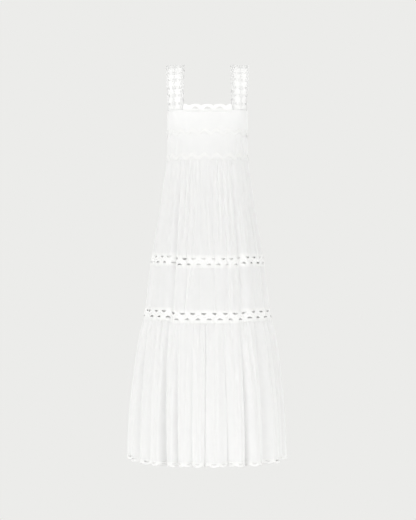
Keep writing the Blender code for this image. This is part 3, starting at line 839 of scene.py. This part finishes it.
# The skirt
# A gathered tier, a flat tier and a full bottom tier are cut straight and joined by two openwork bands.
# Each band is a wavy ribbon between straight headers, with an arched gap in every bend.
LACE_HEIGHT = 0.041
FIRST_LACE = -0.629
SECOND_LACE = -0.806
HEM = -1.311
HEM_TRIM_HEIGHT = 0.017
LACE_REPEATS = 36
LACE_HOLE_SHARE = 0.47
LACE_HOLE_HEIGHT = 0.0066
LACE_HEADER = 0.0085
LACE_LAP = 0.0015
LACE_LIFT = 0.0005
LACE_WALL = 0.0010
LACE_WAVE = (0.0042, 0.0011)
HEADER_CORDS = ((-0.0006, 0.0005), (0.0045, 0.0004))
HEADER_STITCHES = 0.0020

Fold = namedtuple("Fold", "top_angle low_angle depth lean")
Weight = namedtuple("Weight", "height amount")

# Valleys between the soft folds of the upper skirt. A lean above 1 moves the crest towards +X.
UPPER_FOLDS = [
    Fold(-90, -90, 0.7, 1.0),
    Fold(-73, -69, 1.1, 0.8),
    Fold(-53, -51, 0.5, 1.2),
    Fold(-37, -32, 1.3, 1.1),
    Fold(-23, -20, 0.8, 0.85),
    Fold(-9, -7, 0.5, 1.2),
    Fold(6, 7, 0.7, 0.9),
    Fold(20, 20, 1.0, 0.8),
    Fold(33, 32, 1.3, 1.25),
    Fold(49, 47, 0.6, 1.0),
    Fold(69, 66, 1.4, 1.2),
    Fold(90, 90, 0.7, 1.0),
    Fold(109, 111, 1.1, 0.85),
    Fold(126, 127, 0.6, 1.15),
    Fold(142, 144, 1.2, 1.2),
    Fold(157, 158, 0.7, 0.9),
    Fold(170, 171, 0.8, 1.1),
    Fold(184, 185, 0.6, 0.85),
    Fold(199, 200, 1.1, 1.2),
    Fold(214, 214, 0.6, 0.8),
    Fold(231, 232, 1.2, 0.9),
    Fold(250, 251, 0.8, 1.1),
]

# Valleys between the deep folds of the bottom tier
LOWER_FOLDS = [
    Fold(-90, -90, 0.8, 1.0),
    Fold(-75, -77, 0.7, 1.2),
    Fold(-60, -57, 1.2, 0.85),
    Fold(-46, -44, 0.5, 1.1),
    Fold(-35, -32, 1.3, 1.2),
    Fold(-24, -21.5, 0.9, 0.85),
    Fold(-12, -11, 0.8, 1.15),
    Fold(-1, -2, 0.9, 0.9),
    Fold(13, 15, 1.2, 1.2),
    Fold(28, 29, 1.1, 0.85),
    Fold(43, 44, 0.9, 1.2),
    Fold(64, 66, 1.1, 0.9),
    Fold(90, 90, 0.8, 1.0),
    Fold(107, 106, 1.1, 1.15),
    Fold(122, 123, 0.8, 0.85),
    Fold(138, 139, 1.2, 1.1),
    Fold(153, 152, 0.7, 0.9),
    Fold(166, 165, 1.1, 1.2),
    Fold(181, 182, 0.8, 0.85),
    Fold(196, 197, 1.2, 1.15),
    Fold(212, 211, 0.7, 0.9),
    Fold(228, 229, 1.1, 1.2),
    Fold(249, 248, 0.9, 0.85),
]

UPPER_DEPTH = [
    Weight(-0.323, 0.0), Weight(-0.423, 0.006), Weight(-0.629, 0.014),
    Weight(-0.847, 0.009), Weight(-0.960, 0.0),
]
LOWER_DEPTH = [
    Weight(-0.847, 0.0), Weight(-0.930, 0.012), Weight(-1.093, 0.025), Weight(-1.311, 0.034),
]
FIRST_GATHERS = [
    Weight(-0.323, 0.0), Weight(-0.335, 0.0030), Weight(-0.403, 0.0028), Weight(-0.593, 0.0),
]
FIRST_PUCKERS = [
    Weight(-0.323, 0.0004), Weight(-0.330, 0.0014), Weight(-0.368, 0.0012), Weight(-0.433, 0.0),
]
SECOND_GATHERS = [
    Weight(-0.847, 0.0), Weight(-0.862, 0.0046), Weight(-0.960, 0.0044), Weight(-1.143, 0.0),
]
SECOND_PUCKERS = [
    Weight(-0.847, 0.0004), Weight(-0.856, 0.0018), Weight(-0.900, 0.0016), Weight(-0.990, 0.0),
]
RIDGE_ROUNDNESS = 0.8
VALLEY_SOFTNESS = 0.11

# The part of the front and of the back between the deepest folds hangs a little lower than the sides
HANG = [Weight(-0.323, 0.0), Weight(-0.593, 1.0), Weight(-0.860, 1.0), Weight(-1.093, 0.0)]
HANG_DROP = 0.008
HANG_RISE = 0.002
LEFT_DROP = 0.003
HANG_SHARPNESS = 0.7
FRONT_DEEP = (-33, 33)
BACK_DEEP = (143, 200)

# Creases between those folds: on the front as seen, and like them on the back
SKIRT_CREASES = [
    Crease(-28, -0.353, -26, -0.613, 1.6, 0.0050),
    Crease(-15, -0.393, -15, -0.793, 1.4, 0.0037),
    Crease(-2, -0.433, 1, -0.693, 1.5, 0.0040),
    Crease(13, -0.373, 13, -0.633, 1.4, 0.0042),
    Crease(26, -0.343, 26, -0.823, 1.8, 0.0040),
    Crease(40, -0.413, 39, -0.653, 1.6, 0.0035),
    Crease(-44, -0.413, -42, -0.653, 1.8, 0.0037),
    Crease(-68, -0.480, -62, -0.833, 1.8, 0.0088),
    Crease(-18, -0.660, -22, -0.833, 1.4, 0.0037),
    Crease(1, -0.640, 1, -0.833, 6.0, 0.0063),
    Crease(57, -0.393, 55, -0.813, 1.8, 0.0037),
    Crease(66, -0.480, 65, -0.900, 1.8, 0.0088),
    Crease(80, -0.353, 79, -0.793, 2.0, 0.0037),
    Crease(118, -0.393, 119, -0.813, 1.8, 0.0042),
    Crease(134, -0.373, 135, -0.693, 1.7, 0.0040),
    Crease(150, -0.413, 151, -0.823, 1.6, 0.0045),
    Crease(177, -0.373, 178, -0.713, 1.6, 0.0040),
    Crease(192, -0.393, 192, -0.823, 1.5, 0.0047),
    Crease(223, -0.393, 223, -0.693, 1.7, 0.0040),
    Crease(241, -0.373, 241, -0.823, 1.8, 0.0045),
]
BOTTOM_CREASES = [
    Crease(-59, -0.900, -56, -1.453, 1.6, 0.0060),
    Crease(72, -0.850, 71.5, -1.403, 1.6, 0.0080),
    Crease(-68, -0.893, -67, -1.473, 1.7, 0.0042),
    Crease(-50, -0.873, -50, -1.243, 1.5, 0.0035),
    Crease(-38.5, -0.893, -38, -1.453, 1.3, 0.0045),
    Crease(-27, -0.930, -27, -1.493, 1.1, 0.0035),
    Crease(-16, -0.873, -16, -1.293, 1.2, 0.0035),
    Crease(-5, -0.943, -6.5, -1.473, 1.2, 0.0042),
    Crease(6, -0.873, 6, -1.493, 1.4, 0.0052),
    Crease(21, -0.893, 22, -1.453, 1.4, 0.0045),
    Crease(36, -0.913, 37, -1.293, 1.4, 0.0038),
    Crease(54, -0.873, 56, -1.473, 1.7, 0.0049),
    Crease(77, -0.893, 78, -1.453, 1.8, 0.0042),
    Crease(114, -0.893, 114, -1.453, 1.6, 0.0042),
    Crease(130, -0.873, 131, -1.293, 1.5, 0.0042),
    Crease(146, -0.913, 146, -1.473, 1.5, 0.0045),
    Crease(160, -0.893, 159, -1.453, 1.4, 0.0038),
    Crease(174, -0.873, 174, -1.473, 1.4, 0.0045),
    Crease(189, -0.893, 190, -1.293, 1.4, 0.0042),
    Crease(204, -0.913, 204, -1.473, 1.5, 0.0042),
    Crease(220, -0.873, 220, -1.453, 1.6, 0.0045),
    Crease(238, -0.893, 238, -1.473, 1.7, 0.0042),
    Crease(258, -0.893, 258, -1.453, 1.7, 0.0038),
]


def amount_at(weights, height):
    """The depth that a list of weights gives at each height, held level past its ends."""
    rising = np.array(sorted(weights))
    return np.interp(height, rising[:, 0], rising[:, 1])


def wrapped(angle):
    """The same direction, counted from the right side seam at -90 degrees."""
    return (angle + SIDE) % WHOLE_TURN - SIDE


def fold_phase(folds, angle, height, top, low):
    """Which fold each angle lies in, and how far across it, as one number."""
    share = np.clip((top - height) / (top - low), 0, 1)[:, None]
    first = np.array([fold.top_angle for fold in folds] + [folds[0].top_angle + WHOLE_TURN])
    last = np.array([fold.low_angle for fold in folds] + [folds[0].low_angle + WHOLE_TURN])
    valleys = first + (last - first) * share
    turned = wrapped(angle)
    before = np.clip((valleys <= turned[:, None]).sum(axis=1) - 1, 0, len(folds) - 1)
    rows = np.arange(len(turned))
    left, right = valleys[rows, before], valleys[rows, before + 1]
    return before + (turned - left) / (right - left)


def folds_dip(folds, weights, top, low):
    """How far rounded, leaning folds with narrow valleys sink below the outline."""
    depths = [fold.depth for fold in folds] + [folds[0].depth]
    leans = np.array([fold.lean for fold in folds])

    def dip(angle, height):
        phase = fold_phase(folds, angle, height, top, low)
        before = np.clip(np.floor(phase).astype(int), 0, len(folds) - 1)
        leaning = np.clip(phase - before, 0, 1) ** leans[before]
        ridge = np.minimum(np.hypot(np.sin(math.pi * leaning), VALLEY_SOFTNESS), 1) ** RIDGE_ROUNDNESS
        valley = np.interp(phase, range(len(depths)), depths)
        return amount_at(weights, height) * valley * (1 - ridge)

    return dip


def gathers_dip(folds, weights, per_fold, unevenness, top, low):
    """Fine gathers under a seam, of uneven width and depth, that run out down the cloth."""

    def dip(angle, height):
        phase = fold_phase(folds, angle, height, top, low)
        warp = unevenness * np.sin(phase * 2.7 + 0.6) + unevenness * 0.6 * np.sin(phase * 5.3 + height * 6)
        swell = 0.75 + 0.25 * np.sin(phase * 1.9 + 1.1) + 0.2 * np.sin(phase * 4.1)
        ripple = 0.5 + 0.5 * np.cos(2 * math.pi * (per_fold * phase + warp))
        return amount_at(weights, height) * swell * ripple

    return dip


def hang_at(angle, height):
    """How far a place hangs above or below its height on the plain form."""
    turned = wrapped(angle)

    def between(start, end):
        past = np.exp((start - turned) / HANG_SHARPNESS), np.exp((turned - end) / HANG_SHARPNESS)
        return 1 / (1 + past[0]) / (1 + past[1])

    middle = between(*FRONT_DEEP) + between(*BACK_DEEP)
    left = between(FRONT_DEEP[1], BACK_DEEP[0])
    return amount_at(HANG, height) * (HANG_RISE - HANG_DROP * middle - LEFT_DROP * left)


upper_span = (WAIST_SEAM, SECOND_LACE)
lower_span = (SECOND_LACE - LACE_HEIGHT, HEM)
upper_dip = folds_dip(UPPER_FOLDS, UPPER_DEPTH, *upper_span)
lower_dip = folds_dip(LOWER_FOLDS, LOWER_DEPTH, *lower_span)
first_gathers = gathers_dip(UPPER_FOLDS, FIRST_GATHERS, 2, 0.10, *upper_span)
first_puckers = gathers_dip(UPPER_FOLDS, FIRST_PUCKERS, 4, 0.16, *upper_span)
second_gathers = gathers_dip(LOWER_FOLDS, SECOND_GATHERS, 2, 0.12, *lower_span)
second_puckers = gathers_dip(LOWER_FOLDS, SECOND_PUCKERS, 4, 0.18, *lower_span)
skirt_creases = creases_dip(SKIRT_CREASES)
bottom_creases = creases_dip(BOTTOM_CREASES)
skirt_cloth = cloth(upper_dip, first_gathers, first_puckers, skirt_creases, hang=hang_at)
bottom_cloth = cloth(upper_dip, skirt_creases, lower_dip, second_gathers, second_puckers, bottom_creases,
                     hang=hang_at)


def lace_band(name, surface, top):
    height = LACE_HEIGHT - SEAM_GAP
    place, whole = round_place(surface, top - height / 2, top)
    repeat = whole / LACE_REPEATS

    def lifted(x, y, outwards):
        return place(x, y, outwards + LACE_LIFT)

    edge = np.linspace(0, whole, LACE_REPEATS * 10 + 1)
    outline = [(x, -height - LACE_LAP) for x in edge] + [(x, LACE_LAP) for x in edge[::-1]]
    low_base = LACE_HEADER - height
    hole_width = repeat * LACE_HOLE_SHARE
    holes = []
    for i in range(LACE_REPEATS):
        holes.append(arch((i + 0.25) * repeat, low_base, hole_width, LACE_HOLE_HEIGHT))
        holes.append(arch((i + 0.75) * repeat, -LACE_HEADER, hole_width, -LACE_HOLE_HEIGHT))
    lace = Drawing()
    lace.add_sheet(outline, holes, 0.0036)
    piece = lace.lay(name, lifted, embroidery(name + "_lace"))
    give_wall(facing_out(piece), LACE_WALL)
    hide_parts(name + "_front", name + "_back")
    whole * height * 0.85
    cords = Drawing()
    for hole in holes:
        cords.add_cord(grown(hole, 0.0004), True, HOLE_CORD, 0.0)
    xs = np.linspace(0, whole, LACE_REPEATS * POINTS_A_WAVE + 1)[:-1]
    swing, radius = LACE_WAVE
    wave = swing * np.sin(2 * math.pi * LACE_REPEATS * xs / whole)
    cords.add_cord(list(zip(xs, wave - height / 2)), False, radius, 0.0)
    for inset, radius in HEADER_CORDS:
        cords.add_cord([(x, -inset) for x in xs], False, radius, 0.0)
        cords.add_cord([(x, inset - height) for x in xs], False, radius, 0.0)
    stitch_row(cords, 0, whole, -HEADER_STITCHES)
    stitch_row(cords, 0, whole, HEADER_STITCHES - height)
    facing_out(cords.lay(name + "_cords", lifted, embroidery(name + "_cords_thread")))


skirt_tier_1 = tube_panel("skirt_tier_1", skirt_cloth, level(WAIST_SEAM), level(FIRST_LACE),
                          columns=704, rows=30)
lace_band("lace_1", skirt_cloth, FIRST_LACE)
skirt_tier_2 = tube_panel("skirt_tier_2", skirt_cloth, level(FIRST_LACE - LACE_HEIGHT), level(SECOND_LACE),
                          columns=704, rows=14)
lace_band("lace_2", skirt_cloth, SECOND_LACE)
skirt_tier_3 = tube_panel("skirt_tier_3", bottom_cloth, level(SECOND_LACE - LACE_HEIGHT),
                          level(HEM + HEM_TRIM_HEIGHT), columns=920, rows=44)

# The hem
# The skirt ends in a narrow scalloped edging, embroidered like the one at the neck. It hangs from a
# straight header that is sewn to the foot of the bottom tier all round.
HEM_REPEATS = 54
TRIM_HEADER = 0.0045
TRIM_HOLE_HEIGHT = 0.0052
TRIM_VALLEY = 0.0115
TRIM_HOLE_SHARE = 0.46
TRIM_MEASURED_AT = 0.008

top_of_trim = HEM + HEM_TRIM_HEIGHT
place_hem, hem_round = round_place(bottom_cloth, HEM + TRIM_MEASURED_AT, top_of_trim)
hem_repeat = hem_round / HEM_REPEATS
hem_edge = scallop_edge(0, hem_repeat, HEM_REPEATS, -TRIM_VALLEY, -HEM_TRIM_HEIGHT, 12)
hem_top = np.linspace(0, hem_round, HEM_REPEATS * 10 + 1)
hem_holes = [
    arch((i + 0.5) * hem_repeat, -TRIM_HEADER, hem_repeat * TRIM_HOLE_SHARE, -TRIM_HOLE_HEIGHT)
    for i in range(HEM_REPEATS)
]
hem_lace = Drawing()
hem_lace.add_sheet(hem_edge + [(x, 0) for x in hem_top[::-1]], hem_holes, 0.0036)
hem_trim = hem_lace.lay("hem_trim", place_hem, embroidery("hem_trim_lace"))
give_wall(facing_out(hem_trim), LACE_WALL)
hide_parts("hem_trim_front", "hem_trim_back")
hem_round * HEM_TRIM_HEIGHT * 0.85
hem_cords = Drawing()
hem_cords.add_cord([(x, y + 0.0010) for x, y in hem_edge[:-1]], False, 0.0011, 0.0)
for hole in hem_holes:
    hem_cords.add_cord(grown(hole, 0.0009), True, 0.0008, 0.0)
stitch_row(hem_cords, 0, hem_round, HEADER_STITCHES)
facing_out(hem_cords.lay("hem_trim_cords", place_hem, embroidery("hem_trim_cords_thread")))
